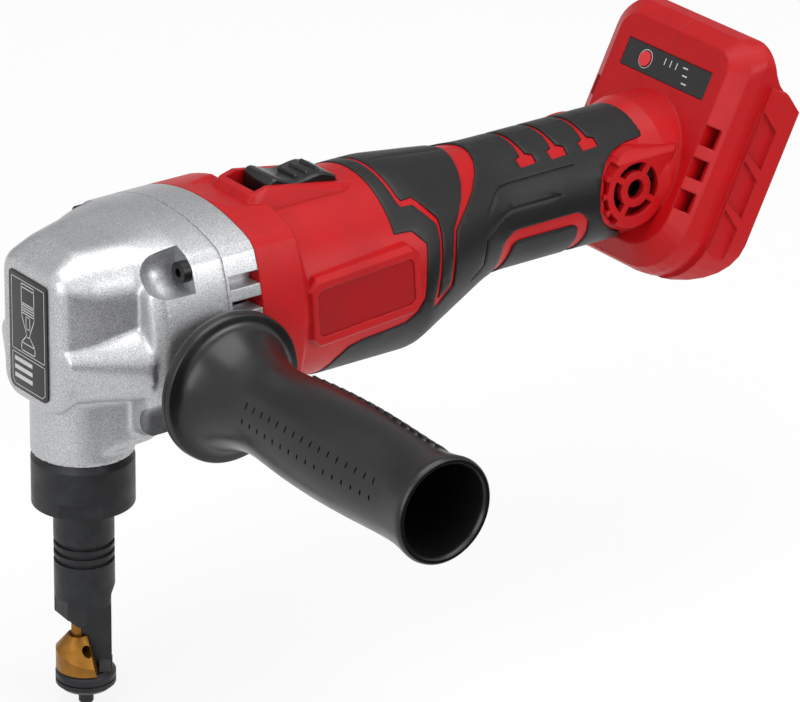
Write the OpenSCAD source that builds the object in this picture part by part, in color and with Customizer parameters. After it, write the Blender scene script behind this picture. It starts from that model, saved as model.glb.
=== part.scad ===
// Cordless nibbler: punch-and-die sheet cutter with a right-angle head.
// The origin is where the punch axis (Z) crosses the motor axis (X).
// +X runs back towards the battery foot, +Z is up, and -Y is the side that carries the side handle.

/* [Head] */
// Half width of the gear housing's pillow-shaped section
head_half = 37; // [35:0.5:39]
// Radius of the vertical column over the punch axis
column_r = 17; // [16:0.5:18]
// Height of the column's lower end below the motor axis
column_drop = 39.8; // [38:0.2:42]
// Where the gear housing ends and the motor bracket starts
head_rear = 33; // [32:0.5:34]
// Where the motor bracket ends and the plastic housing starts
bracket_rear = 45.5; // [45:0.5:48]

/* [Nibbling tool] */
// Stroke of the punch
stroke = 7; // [5:0.5:8]
// Radius of the die holder's tube
holder_r = 10; // [9.5:0.1:10.5]
// Lower face of the lock collar below the motor axis
collar_drop = 58.6; // [57:0.2:60]
// Top of the die below the motor axis
die_drop = 107.6; // [106:0.2:109]
// Lower face of the die holder below the motor axis
holder_drop = 126.2; // [125:0.1:128]
// How far the punch sits in front of the holder's axis
punch_lead = 2.5; // [2:0.1:2.8]
// Radius of the cutting end of the punch
punch_r = 2.1; // [2:0.05:2.3]
// How far the die holder is turned from cutting straight ahead
holder_turn = -36; // [-180:1:180]

/* [Gear train] */
// Gear module
gear_module = 0.8; // [0.8]
// Teeth of the sun pinion on the motor shaft
sun_teeth = 12; // [12]
// Teeth of each planet wheel
planet_teeth = 24; // [24]

/* [Housing] */
// Radius of the motor barrel
barrel_r = 33; // [32:0.5:34]
// Radius of the grip over its soft skin
grip_r = 22.4; // [21.5:0.1:23.5]
// Height of the grip's axis above the motor axis
grip_lift = 6.5; // [5:0.5:8]
// Thickness of the soft skin on the grip
skin = 2; // [1.5:0.1:2.2]
// Wall thickness of the plastic housing
wall = 2.6; // [2.4:0.1:3]

/* [Battery foot] */
// How far the foot leans back
foot_pitch = 26.4; // [24:0.2:28]
// Half width of the foot
foot_half = 36; // [35:0.5:37]
// Half width over the rims of the battery bay
rim_half = 38; // [37.5:0.5:39]
// Depth of the foot from its front face to the rims
foot_depth = 30; // [28:0.5:32]

/* [Side handle] */
// Distance of the handle's axis behind the punch axis
handle_x = 27.3; // [26:0.1:28]
// Height of the handle's axis below the motor axis
handle_drop = 9.7; // [8:0.1:11]
// Radius of the handle's guard flange
flange_r = 25.5; // [24:0.1:27]
// Distance from the middle plane to the handle's far end
handle_end = 157; // [150:1:165]

/* [Hidden] */

$fn = 64;
hull_fn = 32;
far = 200;
running = 0.05;

// Gear train
screw_r = 2.2;
stud_r = 4;
sun_r = gear_module * sun_teeth / 2;
planet_pitch_r = gear_module * planet_teeth / 2;
ring_teeth = sun_teeth + 2 * planet_teeth;
ring_r = gear_module * ring_teeth / 2;
planet_orbit = sun_r + planet_pitch_r;
planet_angles = [90, 210, 330];
gear_x = 24;
gear_len = 8;
crank_throw = stroke / 2;

// Head
front_wall = 5;
pocket_x = 21.2;

// Heights along the punch axis
column_z = -column_drop;
collar_z = -collar_drop;
die_top = -die_drop;
holder_z = -holder_drop;
nose_z = die_top + 6.9;
die_base = holder_z + 6.9;
spigot_r = 14.6;
spigot_z = collar_z + 7.8;
ram_end = -48;

// Motor stack along the motor axis
shaft_r = 4;
fan_x = 47;
fan_space_r = 31;
stator_x = 66;
stator_len = 26;
rear_bearing_x = 103;

// Housing
barrel_end = 118;
grip_start = 155;
grip_end = 226;
core_r = grip_r - skin;
switch_x = 68.6;
vent_x = 210;
vent_z = 8.2;
vent_y = 23;
vent_r = 14;
corner_end = 62;
label_centre = [88.4, 2.5];
label_tilt = 4;

// Foot
foot_origin = [240.65, 0, 38.3];
foot_low = -68;
foot_high = 21;
bay_floor = 14;
bay_half = 33;

// Screws that clamp the two housing halves: x, z, y of the head, y of the tip
housing_screw_places = [
    [119.5, -24, 12, -12], [148, -11.6, 9.6, -7.4],
    [219, 20.6, 11, -9], [220.7, -17.7, 24, -14], [253.9, 46.2, 24, -14]
];
head_screw_places = [for (side = [-1, 1], z = [26.4, -20.4]) [side * 28.6, z]];

// ---------------------------------------------------------------- helpers

// Cylinder along X from x0 to x1
module rod_x(r, x0, x1, y = 0, z = 0, r2 = -1) {
    translate([x0, y, z]) rotate([0, 90, 0]) cylinder(h = x1 - x0, r1 = r, r2 = r2 < 0 ? r : r2);
}

// Cylinder along Y from y0 to y1
module rod_y(r, y0, y1, x = 0, z = 0, r2 = -1) {
    translate([x, y0, z]) rotate([-90, 0, 0]) cylinder(h = y1 - y0, r1 = r, r2 = r2 < 0 ? r : r2);
}

// Cylinder along Z from z0 to z1
module rod_z(r, z0, z1, x = 0, y = 0, r2 = -1) {
    translate([x, y, z0]) cylinder(h = z1 - z0, r1 = r, r2 = r2 < 0 ? r : r2);
}

// Children are drawn on the right, +Y, and moved to the side asked for
module on_side(side) {
    mirror([0, side < 0 ? 1 : 0, 0]) children();
}

// Ring along X
module ring_x(r_out, r_in, x0, x1) {
    difference() {
        rod_x(r_out, x0, x1);
        rod_x(r_in, x0 - 1, x1 + 1);
    }
}

// Box from its low corner to its high corner
module box(low, high) {
    translate(low) cube(high - low);
}

// Prism along X whose outline is drawn in Y and Z
module prism_x(x0, x1) {
    translate([x0, 0, 0]) rotate([90, 0, 90]) linear_extrude(x1 - x0) children();
}

// Prism along Y whose outline is drawn in X and Z
module prism_y(y0, y1) {
    translate([0, y1, 0]) rotate([90, 0, 0]) linear_extrude(y1 - y0) children();
}

// Half space on one side of the middle plane: side is -1 for left, 1 for right
module half(side) {
    translate([-far, side < 0 ? -far : 0, -far]) cube([3 * far, far, 2 * far]);
}

function arc(cx, cy, r, a0, a1, n = 8) = [
    for (i = [0:n]) let (a = a0 + (a1 - a0) * i / n) [cx + r * cos(a), cy + r * sin(a)]
];

// Rectangle with its own radius at the top corners and at the bottom corners
module round_rect(half_w, low, high, r_low, r_high, n = 8) {
    polygon(concat(
        arc(half_w - r_high, high - r_high, r_high, 0, 90, n),
        arc(-half_w + r_high, high - r_high, r_high, 90, 180, n),
        arc(-half_w + r_low, low + r_low, r_low, 180, 270, n),
        arc(half_w - r_low, low + r_low, r_low, 270, 360, n)
    ));
}

// Square with bulged sides and blunt corners
module pillow(half_w) {
    intersection() {
        circle(r = half_w * 1.146);
        bulged_strip(half_w);
        rotate(90) bulged_strip(half_w);
    }
}

module bulged_strip(half_w) {
    bulge = 2 * half_w;
    intersection() {
        translate([bulge - half_w, 0]) circle(r = bulge, $fn = 128);
        translate([half_w - bulge, 0]) circle(r = bulge, $fn = 128);
    }
}

// Ball bearing drawn as one sealed ring with a groove in each face
module bearing_x(bore, outer, x0, x1) {
    difference() {
        ring_x(outer, bore, x0, x1);
        for (x = [x0 - 1, x1 - 0.6]) difference() {
            rod_x(outer - 1.6, x, x + 1.6);
            rod_x(bore + 1.6, x - 1, x + 3);
        }
    }
}

// Involute gear outline. clearance thins the teeth, add and ded are their height and depth in modules.
function involute(base, r) = let (a = acos(min(1, base / r))) tan(a) * 180 / PI - a;
module gear_outline(teeth, add, ded, clearance) {
    pitch = gear_module * teeth / 2;
    base = pitch * cos(25);
    tip = pitch + add * gear_module;
    root = pitch - ded * gear_module;
    half_tooth = 90 / teeth - clearance / pitch * 90 / PI + involute(base, pitch);
    start = max(base, root);
    steps = 4;
    radii = [for (i = [0:steps]) start + (tip - start) * i / steps];
    polygon([for (t = [0:teeth - 1], side = [-1, 1], i = [0:steps + 1])
        let (
            k = side < 0 ? i : steps + 1 - i,
            r = k == 0 ? root : radii[k - 1],
            a = t * 360 / teeth + side * (half_tooth - involute(base, max(base, r)))
        )
        [r * cos(a), r * sin(a)]]);
}

// ---------------------------------------------------------------- cast head

// Blunt nose over the punch, with a lower lobe that swells out on each side
// Section of the head behind its front wall, flatter underneath
module head_section(half_width) {
    intersection() {
        pillow(half_width);
        translate([0, 3]) pillow(half_width);
    }
}

module head_front() {
    hull() {
        prism_x(-19.6, -18.6) round_rect(14.5, -19, 26.5, 6, 5);
        prism_x(-17, -16) round_rect(18, -20.8, 29.5, 9, 8);
        prism_x(-9, -8) round_rect(22, -8, 33.2, 8, 15);
        prism_x(7, 8) round_rect(27, 0, 34.6, 8, 16);
    }
    // Shoulder up to the gear chamber
    hull() {
        prism_x(6, 7.6) round_rect(26.85, 18, 34.45, 1, 16);
        prism_x(19, 20.4) intersection() {
            pillow(head_half - 0.3);
            translate([-33.5, 25]) square([67, 20]);
        }
    }
    // Cheeks over the yoke chamber
    hull() {
        prism_x(-19.6, -18.6) round_rect(14.5, -16.5, 4, 5, 5);
        for (s = [-1, 1]) {
            rod_x(5, -18.6, -16, s * 15, -1, $fn = hull_fn);
            rod_x(13.2, 4, front_wall + 1, s * 22, -3, $fn = hull_fn);
        }
    }
}

module gear_housing() {
    color("silver") difference() {
        union() {
            head_front();
            // Gear chamber, rounded off at its front edge and lower towards the front
            hull() {
                prism_x(front_wall, front_wall + 1) intersection() {
                    head_section(head_half - 3.2, $fn = hull_fn);
                    translate([-50, -50]) square([100, 72]);
                }
                prism_x(front_wall + 4, front_wall + 5) intersection() {
                    head_section(head_half, $fn = 48);
                    translate([-50, -50]) square([100, 75]);
                }
                prism_x(19, 20.4) head_section(head_half - 0.15, $fn = 48);
            }
            prism_x(20, head_rear) head_section(head_half);
            // Column over the punch, its spigot, and the web behind it
            rod_z(column_r, column_z, 0);
            rod_z(spigot_r, spigot_z, column_z + 1);
            hull() {
                rod_z(column_r - 0.2, -36, -16, $fn = hull_fn);
                prism_x(12, 13) round_rect(24, -33.8, -14, 6, 4);
            }
            // Bosses for the side handle
            intersection() {
                for (s = [-1, 1]) on_side(s) rod_y(13, 30, 41.4, handle_x, -handle_drop);
                box([0, -50, -40], [head_rear, 50, 40]);
            }
        }
        // Gear chamber and the seats of the ring gear and the crank bearing
        rod_x(29.4, 23, head_rear + 1);
        rod_x(22, 19.6, 24);
        rod_x(17.5, 10, 21);
        rod_x(13.2, 4.8, 11);
        // Yoke chamber and ram bore
        box([-5.2, -13, -23.5], [5.2, 13, 23.5]);
        box([-13, -9, -12], [-5, 9, 22]);
        rod_z(10, collar_z, -27.3);
        rod_z(9.4, -28, -8);
        // Threaded sockets for the side handle
        for (s = [-1, 1]) on_side(s) rod_y(stud_r + running, 31.5, 45, handle_x, -handle_drop);
        // Driver pockets and holes for the head screws
        for (p = head_screw_places) {
            rod_x(9, pocket_x - 9, pocket_x, p[0] * 1.084, p[1] * 1.098);
            translate([pocket_x - 9, p[0] * 1.084, p[1] * 1.098]) sphere(r = 8.96);
            rod_x(screw_r + running, pocket_x - 1, head_rear + 1, p[0], p[1]);
        }
    }
}

module motor_bracket() {
    color("silver") difference() {
        union() {
            difference() {
                prism_x(head_rear, bracket_rear) head_section(head_half);
                rod_x(fan_space_r, head_rear + 4, bracket_rear + 1);
            }
            rod_x(14, head_rear + 3, head_rear + 11);
        }
        rod_x(shaft_r + 4, head_rear - 1, head_rear + 6);
        rod_x(11, head_rear + 4, head_rear + 12);
        // Exhaust slots, open to the rear
        for (s = [-1, 1], i = [-2.5:2.5]) on_side(s)
            box([head_rear + 1, 29, 0.7 + i * 7.9 - 2.1], [bracket_rear + 1, 40, 0.7 + i * 7.9 + 2.1]);
        for (p = head_screw_places) rod_x(screw_r + running, head_rear - 1, bracket_rear + 1, p[0], p[1]);
    }
}

module head_screws() {
    color("#1c1c1e") for (p = head_screw_places) {
        difference() {
            rod_x(3.6, pocket_x - 3.2, pocket_x - 0.05, p[0], p[1]);
            rod_x(1.7, pocket_x - 4, pocket_x - 1.4, p[0], p[1], $fn = 6);
        }
        rod_x(screw_r, pocket_x - 0.1, 50.6, p[0], p[1]);
    }
}

module head_label() {
    color("#2b2b2d") prism_x(-20.2, -19.6) round_rect(10.9, -16.4, 24, 3, 1.5);
}

// ---------------------------------------------------------------- punch, die and holder

// The holder, die and punch are drawn cutting towards -X, then turned together
module turned() {
    rotate([0, 0, holder_turn]) children();
}

module die_holder() {
    web = 1.8;
    throat = [8, 0, -102.7];
    color("#2e2f31") turned() difference() {
        union() {
            difference() {
                union() {
                    rod_z(holder_r, nose_z, collar_z + 4);
                    rod_z(13.5, collar_z + 4, spigot_z - 0.1);
                    rod_z(9.92, spigot_z - 0.2, ram_end - 1);
                }
                // Round cut behind the nose on each side of the web, flared outwards
                for (s = [-1, 1]) on_side(s) {
                    rod_y(8, web, 12, throat[0], throat[2]);
                    rod_y(8, 8.2, 12, throat[0], throat[2], 10.2);
                }
                // Lower edge of the nose, flat in front and stepped up behind its point
                prism_y(-12, 12)
                    polygon([[-12, -98.2], [-4.7, -98.9], [-1.6, nose_z - 0.1], [-1.6, -110], [-12, -110]]);
                // Gauge flats on the front of the nose
                for (s = [-1, 1]) rotate([0, 0, s * 34]) box([-12, -4, -110], [-9.1, 4, -92.4]);
            }
            // Web behind the punch, clear of the die's slanted flat
            prism_y(-web, web) polygon([
                [-1.2, -88], [8.8, -88], [8.8, die_base - 1], [4.4, die_base - 1],
                [1, die_top], [1, die_top + 0.3], [-1.2, die_top + 0.8]
            ]);
            hull() {
                box([4.6, -web, -116.6], [8.6, web, -116.4]);
                box([4.6, -5, die_base - 0.4], [8.2, 5, die_base]);
            }
            // Disc that carries the die, rounded over
            rod_z(holder_r - 0.7, die_base - 0.8, die_base, 0, 0, holder_r - 1.5);
            rod_z(holder_r, die_base - 1.5, die_base - 0.7, 0, 0, holder_r - 0.7);
            rod_z(holder_r, holder_z + 1.5, die_base - 1.4);
            rod_z(holder_r - 1.6, holder_z, holder_z + 1.6, 0, 0, holder_r);
        }
        // Bores for the body and the cutting end of the punch
        rod_z(4.5 + running, -90, collar_z + 30);
        rod_z(punch_r + running, -120, -80, -punch_lead);
        // Rings round the tube
        for (i = [0:2]) difference() {
            rod_z(12, -73.3 - 3.15 * i, -71.7 - 3.15 * i);
            rod_z(9.1, -90, -60);
        }
        // Relief behind the web, and its rounded start
        box([8.6, -12, -116.4], [12, 12, -93]);
        rod_y(7, -12, 12, 15.6, -93);
        // Groove round the disc
        difference() {
            rod_z(12, holder_z + 3, holder_z + 3.6);
            rod_z(holder_r - 0.6, holder_z, die_base);
        }
        // Hole for the die bolt
        rod_z(2.2, holder_z - 1, die_base + 1);
    }
}

module die() {
    steep = 0.82;
    color("#b87f2e") turned() difference() {
        intersection() {
            rod_z(9.8, die_base + 0.02, die_top);
            union() {
                rod_z(3.45 + 11 * steep, die_top - 11, die_top, -punch_lead, 0, 3.45);
                rod_z(20, die_base, die_top - 10.9);
            }
        }
        // Bore with a lead-in, and the hole the chips leave by
        rod_z(punch_r + 2 * running, -115.2, 0, -punch_lead);
        rod_z(punch_r, die_top - 1, die_top + 0.1, -punch_lead, 0, punch_r + 0.8);
        translate([-punch_lead, 0, -111.6]) rotate([90, 0, 30]) cylinder(r = 1.7, h = 12);
        // Slanted flat towards the web
        translate([0.7, 0, die_top]) rotate([0, -16, 0]) box([0, -12, -20], [14, 12, 4]);
        rod_z(2.1 + running, die_base - 1, -116);
    }
}

module die_bolt() {
    color("#3a3a3c") turned() difference() {
        union() {
            rod_z(2.1, holder_z - 1, -116.2);
            rod_z(2.5, holder_z - 5.9, holder_z - 0.02);
            rod_z(2.1, holder_z - 6.4, holder_z - 5.8, 0, 0, 2.5);
        }
        rod_z(1.4, holder_z - 7, holder_z - 4.4, $fn = 6);
    }
}

module lock_collar() {
    color("#232426") difference() {
        union() {
            rod_z(17, collar_z, -42.6);
            rod_z(17, -42.6, column_z - 0.3, 0, 0, 15.6);
        }
        rod_z(holder_r + 0.1, collar_z - 1, collar_z + 5);
        rod_z(13.6, collar_z + 3.8, collar_z + 8);
        rod_z(spigot_r + 0.1, spigot_z - 0.2, 0);
        // Wrench flats
        for (a = [-37, 143]) rotate([0, 0, a]) box([-20, -20, collar_z - 1], [20, -15.4, collar_z + 4.8]);
    }
}

module punch() {
    color("#b87f2e") turned() {
        rod_z(4.5, -88.5, ram_end - 0.15);
        rod_z(punch_r, die_top - 1, -87, -punch_lead);
        rod_z(2.4, ram_end - 0.5, ram_end + 4.1);
        rod_z(4.2, ram_end + 4, ram_end + 7);
    }
}

module ram_yoke() {
    window_w = 17.8;
    window_h = 24.8;
    frame = 3.4;
    color("#8d9094") difference() {
        union() {
            box([-4, -12.4, -crank_throw - window_h / 2 - frame],
                [4, 12.4, -crank_throw + window_h / 2 + frame]);
            rod_z(7, ram_end, -18);
        }
        box([-5, -window_w / 2, -crank_throw - window_h / 2],
            [5, window_w / 2, -crank_throw + window_h / 2]);
        // T-slot that holds the punch's head and lets the punch turn
        rod_z(4.3, ram_end + 3.8, ram_end + 7.2);
        rod_z(2.5, ram_end - 1, ram_end + 5);
        box([0, -4.3, ram_end + 3.8], [9, 4.3, ram_end + 7.2]);
        box([0, -2.5, ram_end - 1], [9, 2.5, ram_end + 5]);
    }
}

module ram_bush() {
    color("#a8792f") difference() {
        rod_z(10, -37.6, -27.4);
        rod_z(7 + running, -50, -20);
    }
}

module ram_seal() {
    color("#3b3a36") difference() {
        rod_z(10, -41.4, -37.8);
        rod_z(7.1, -50, -20);
    }
}

// ---------------------------------------------------------------- gear train

module crank_carrier() {
    color("#85888c") {
        rod_x(10.6, 5.6, 9.9);
        rod_x(8.5 - running, 9, 21.2);
        rod_x(18.6, 20.4, 23.4);
        rod_x(3, -4.4, 6, 0, -crank_throw);
        for (a = planet_angles)
            rod_x(2.5, 23, gear_x + gear_len + 0.4, planet_orbit * cos(a), planet_orbit * sin(a));
    }
}

module eccentric_roller() {
    color("#a9adb2") difference() {
        rod_x(5, -4, 4, 0, -crank_throw);
        rod_x(3, -5, 5, 0, -crank_throw);
    }
}

module crank_bearing() {
    color("#b9bcc0") bearing_x(8.5, 17.5 - 0.01, 10.2, 19.8);
}

module ring_gear() {
    color("#6d7074") difference() {
        rod_x(29.4, gear_x - 0.4, head_rear - 0.05);
        // Turned by half a tooth, so that it meshes with the planets at rest
        prism_x(gear_x - 2, head_rear + 1) rotate(180 / ring_teeth)
            gear_outline(ring_teeth, 0.95, 0.7, -0.12);
    }
}

module planet_gear(i) {
    a = planet_angles[i];
    color("#7b7e82") translate([0, planet_orbit * cos(a), planet_orbit * sin(a)]) difference() {
        prism_x(gear_x, gear_x + gear_len) rotate(a + 180 / planet_teeth)
            gear_outline(planet_teeth, 0.8, 1.05, 0.12);
        rod_x(2.5 + running, gear_x - 1, gear_x + gear_len + 1);
    }
}

module planet_gear_1() {
    planet_gear(0);
}

module planet_gear_2() {
    planet_gear(1);
}

module planet_gear_3() {
    planet_gear(2);
}

// ---------------------------------------------------------------- motor

module rotor_shaft() {
    color("#9a9da1") {
        prism_x(gear_x + 0.4, head_rear + 0.6) rotate(90) gear_outline(sun_teeth, 0.8, 1.05, 0.12);
        rod_x(3.7, head_rear + 0.5, head_rear + 4.5);
        rod_x(shaft_r - running, head_rear + 4.4, rear_bearing_x + 8);
    }
}

module rotor_core() {
    color("#4a4b4e") difference() {
        union() {
            rod_x(13.8, stator_x, stator_x + stator_len);
            rod_x(8, stator_x - 4, stator_x + stator_len + 4);
        }
        rod_x(shaft_r - running, 0, far);
    }
}

module cooling_fan() {
    blades = 11;
    color("#1d1d1f") difference() {
        union() {
            rod_x(27.5, fan_x, fan_x + 1.6);
            rod_x(8, fan_x, fan_x + 12);
            for (i = [0:blades - 1])
                rotate([i * 360 / blades, 0, 0]) translate([fan_x + 1, 11, 2]) rotate([18, 0, 0])
                cube([8.5, 15, 1.4]);
        }
        rod_x(shaft_r - running, 0, far);
    }
}

module fan_shroud() {
    color("#b5161c") {
        difference() {
            ring_x(fan_space_r - 0.05, 29.2, 38, 60);
            for (s = [-1, 1]) box([38.1, min(s * 20, s * 40), -22], [44, max(s * 20, s * 40), 23]);
        }
        ring_x(29.6, 19, 58.4, 60);
    }
}

module front_bearing() {
    color("#b9bcc0") bearing_x(shaft_r, 11 - 0.01, head_rear + 4, head_rear + 11);
}

module rear_bearing() {
    color("#b9bcc0") bearing_x(shaft_r, 11, rear_bearing_x, rear_bearing_x + 7);
}

module stator_core() {
    slots = 6;
    color("#5d5f63") difference() {
        rod_x(27, stator_x, stator_x + stator_len);
        rod_x(14.4, 0, far);
        for (i = [0:slots - 1]) rotate([i * 360 / slots + 30, 0, 0]) box([0, -3.4, 16], [far, 3.4, 24]);
    }
}

module stator_windings() {
    slots = 6;
    color("#b06a30") for (x = [stator_x - 5, stator_x + stator_len]) difference() {
        ring_x(24, 16, x, x + 5);
        for (i = [0:slots - 1]) rotate([i * 360 / slots + 30, 0, 0]) box([0, -1.2, 10], [far, 1.2, 30]);
    }
}

module sensor_board() {
    color("#1f6b3a") difference() {
        rod_x(25, 98.4, 100);
        rod_x(9, 90, 110);
    }
}

// ---------------------------------------------------------------- plastic housing

// Outside of the barrel, the taper and the grip
module body_solid(grip_radius) {
    // Shoulders behind the head, with a shallow valley between them in front of the switch
    difference() {
        union() {
            prism_x(bracket_rear + 0.2, corner_end) head_section(head_half);
            hull() {
                prism_x(corner_end - 1, corner_end) head_section(head_half, $fn = 48);
                rod_x(barrel_r, 66, 67, $fn = 48);
            }
        }
        hull() {
            box([46.2, -11, 36.9], [46.6, 11, 50]);
            box([46.2, -19, 39], [46.6, 19, 50]);
            box([67, -12, 32.6], [67.4, 12, 50]);
            box([67, -20, 38], [67.4, 20, 50]);
        }
    }
    rod_x(barrel_r, 66, barrel_end);
    taper(grip_radius);
    rod_x(grip_radius, grip_start, grip_end, 0, grip_lift);
}

// Slanted cone between the barrel and the grip
module taper(grip_radius, inset = 0) {
    hull() {
        rod_x(barrel_r - inset, barrel_end - 1, barrel_end, $fn = 48);
        rod_x(grip_radius, grip_start, grip_start + 1, 0, grip_lift, $fn = 48);
    }
}

// Places children in the foot's own frame: X is depth, Z runs up along the foot's front face
module in_foot() {
    translate(foot_origin) rotate([0, foot_pitch, 0]) children();
}

// Cuts children off at a depth inside the foot
module up_to_foot(depth) {
    intersection() {
        children();
        in_foot() box([-far, -far, -far], [depth, far, far]);
    }
}

// Rectangle with cut corners, in the plane of the side label
module label_outline(half_w, half_h, corner) {
    translate(label_centre) rotate(label_tilt) round_rect(half_w, -half_h, half_h, corner, corner, 1);
}

module foot_side_outline() {
    polygon(concat(
        [[0, foot_low + 6], [0, foot_high], [10.6, foot_high], [12, 18.4], [13.6, 15.4], [15.4, 12.4]],
        [[18.4, 9.5], [24, 6.4], [foot_depth, 3]],
        arc(foot_depth - 22, foot_low + 22, 22, 0, -90),
        [[6, foot_low]]
    ));
}

module foot_solid() {
    hull() {
        prism_x(0, 0.8) round_rect(foot_half - 7.6, foot_low + 8, foot_high - 7.6, 16, 7);
        prism_x(4.4, 5) round_rect(foot_half - 1, foot_low + 1.2, foot_high - 2, 21, 12);
        prism_x(9.4, 10.4) round_rect(foot_half, foot_low, foot_high, 22, 9);
    }
    intersection() {
        union() {
            prism_x(9.4, foot_depth) round_rect(foot_half, foot_low, foot_high, 22, 9);
            prism_x(14, foot_depth) round_rect(rim_half, foot_low, 8, 22, 1);
        }
        prism_y(-40, 40) foot_side_outline();
    }
}

module foot_cuts() {
    // Battery bay, open at the top and at the rear
    prism_x(bay_floor, foot_depth + 5) round_rect(bay_half, foot_low + 8, 60, 14, 1);
    // Board space behind the front face
    prism_x(wall, 6.6) round_rect(27.4, foot_low + 11, foot_high - 9, 14, 6);
    prism_x(6.5, bay_floor - 2.4) round_rect(31, foot_low + 6, foot_high - 4, 16, 8);
    // Window for the control panel
    box([-1, -22.2, -5], [1.2, 22.2, 5]);
    box([-1, -15, -3.4], [4, 15, 3.4]);
    // Front vents, and the recesses in the side walls
    for (s = [-1, 1], i = [0:2]) on_side(s) {
        translate([0, 0, -18.9 - 11.6 * i]) linear_extrude(7.1)
            polygon([[-1, 28.4], [8, 28.4], [8, 30.6], [4.8, 30.6], [3.9, 33.2], [-1, 33.2]]);
        prism_y(rim_half - 1.4, 40) translate([18.8, -9.4 - 17.8 * i])
            polygon([[-4.5, -6.4], [4.5, -10.6], [4.5, 3.4], [-4.5, 8.8]]);
    }
    // Opening for the terminal block
    box([bay_floor - 4, -17, -54.2], [bay_floor + 1, 17, -33.8]);
}

module foot_rails() {
    for (s = [-1, 1]) on_side(s) box([24.6, 29.2, -52], [27.6, bay_half + 0.6, 1]);
}

module housing_solid(side) {
    body_solid(core_r);
    in_foot() foot_solid();
    // Neck between the grip and the foot
    rod_x(core_r, grip_end - 16, grip_end - 2, 0, grip_lift, 24.5);
    up_to_foot(4) rod_x(24.5, grip_end - 2.1, grip_end + 20, 0, grip_lift);
    // Raised rim round the switch
    hull() {
        box([59.6, -8.8, 24], [60, 8.8, 36.5]);
        box([61.4, -10.1, 24], [61.6, 10.1, 37]);
        box([66, -10.1, 24], [66.4, 10.1, 38.2]);
        box([57.3, -10, 24], [57.8, 10, 33.8]);
        box([58.8, -12.3, 24], [95, 12.3, 31.2]);
        box([93, -10.1, 24], [95, 10.1, 33.3]);
        box([102, -8.6, 24], [103.6, 8.6, 30.8]);
    }
    on_side(side) {
        intersection() {
            union() {
                rod_y(vent_r, 12, vent_y, vent_x, vent_z);
                prism_y(12, vent_y)
                    polygon([[203, 20.5], [208, 21.9], [228, 20.4], [221.6, 8.6], [217, 0], [211, -4]]);
            }
            rod_x(26, grip_start, grip_end + 10, 0, grip_lift);
        }
        // Raised label frame
        hull() {
            prism_y(28, 33) label_outline(22.8, 12.4, 4);
            prism_y(30, 34.6) label_outline(21.6, 11, 2.8);
        }
    }
}

module housing_cavity(side) {
    rod_x(fan_space_r, bracket_rear - 1, 61);
    rod_x(barrel_r - wall, 60, barrel_end - 1);
    taper(core_r - wall, wall);
    up_to_foot(wall + 1) rod_x(core_r - wall, grip_start, grip_end + 20, 0, grip_lift);
    in_foot() foot_cuts();
    // Switch slot
    box([62, -8.2, 29], [95.9, 8.2, 45]);
    on_side(side) {
        rod_y(vent_r - wall, 5, vent_y - 2.4, vent_x, vent_z);
        prism_y(33.8, 36) label_outline(19.4, 8.2, 1.6);
    }
}

// Rings that hold the stator, the wall that holds the rear bearing, and the screw bosses
module housing_ribs() {
    difference() {
        union() {
            for (x = [69, 86.5]) ring_x(barrel_r - 1, 27.02, x, x + 2.5);
            ring_x(barrel_r - 1, 11.02, rear_bearing_x + 1, rear_bearing_x + 5);
        }
        box([60, -9, 19], [120, 9, 45]);
        // Way through for the motor leads
        box([rear_bearing_x, -7, -16], [rear_bearing_x + 6, 7, -12.3]);
    }
    for (p = housing_screw_places) rod_y(3.6, p[3] - 2, p[2] + 1, p[0], p[1]);
}

// Places children on the vent's axis, turned round it
module at_vent(angle) {
    translate([vent_x, 0, vent_z]) rotate([0, angle, 0]) children();
}

// Round grille over the air intake
module vent_cuts() {
    difference() {
        rod_y(9.6, 17, 30, vent_x, vent_z);
        rod_y(6.4, 10, 31, vent_x, vent_z);
        for (a = [35, 125]) at_vent(a) box([-12, 10, -1.1], [12, 40, 1.1]);
    }
    // Windows in the rim of the boss
    for (a = [-42, -14, 14, 42]) at_vent(a) box([-15, 19.4, -2.3], [-12, 40, 2.3]);
    rod_y(3.5, 17, 30, vent_x, vent_z);
}

module housing_half(side) {
    color("#c4161c") difference() {
        union() {
            difference() {
                housing_solid(side);
                housing_cavity(side);
            }
            housing_ribs();
            in_foot() foot_rails();
        }
        on_side(side) vent_cuts();
        on_side(-side) half(1);
        for (p = housing_screw_places) {
            rod_y(2 + running, p[3] - 0.2, p[2] + 0.5, p[0], p[1]);
            rod_y(3.9, p[2], 45, p[0], p[1]);
        }
        for (p = head_screw_places) rod_x(screw_r + running, 40, 51, p[0], p[1]);
    }
}

module housing_left() {
    housing_half(-1);
}

module housing_right() {
    housing_half(1);
}

module housing_screws() {
    color("#1c1c1e") for (p = housing_screw_places) {
        rod_y(2, p[3], p[2] + 0.1, p[0], p[1]);
        difference() {
            rod_y(3.6, p[2], p[2] + 2.8, p[0], p[1]);
            rod_y(1.7, p[2] + 1, p[2] + 4, p[0], p[1], $fn = 6);
        }
    }
}

module skin_half(side) {
    color("#2a2a2c") difference() {
        union() {
            taper(grip_r);
            rod_x(grip_r, grip_start, 210, 0, grip_lift);
        }
        taper(core_r + 0.02);
        rod_x(core_r + 0.02, grip_start - 1, 230, 0, grip_lift);
        for (p = housing_screw_places) rod_y(3.9, p[2], 45, p[0], p[1]);
        rod_x(60, barrel_end - 2, barrel_end + 6);
        on_side(side) rod_y(vent_r + 0.1, 0, 40, vent_x, vent_z);
        on_side(-side) half(1);
    }
}

module grip_skin_left() {
    skin_half(-1);
}

module grip_skin_right() {
    skin_half(1);
}

module label_plate(side) {
    color("#9c1218") on_side(side) prism_y(33.82, 34.3) label_outline(19.2, 8, 1.5);
}

module label_left() {
    label_plate(-1);
}

module label_right() {
    label_plate(1);
}

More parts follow.
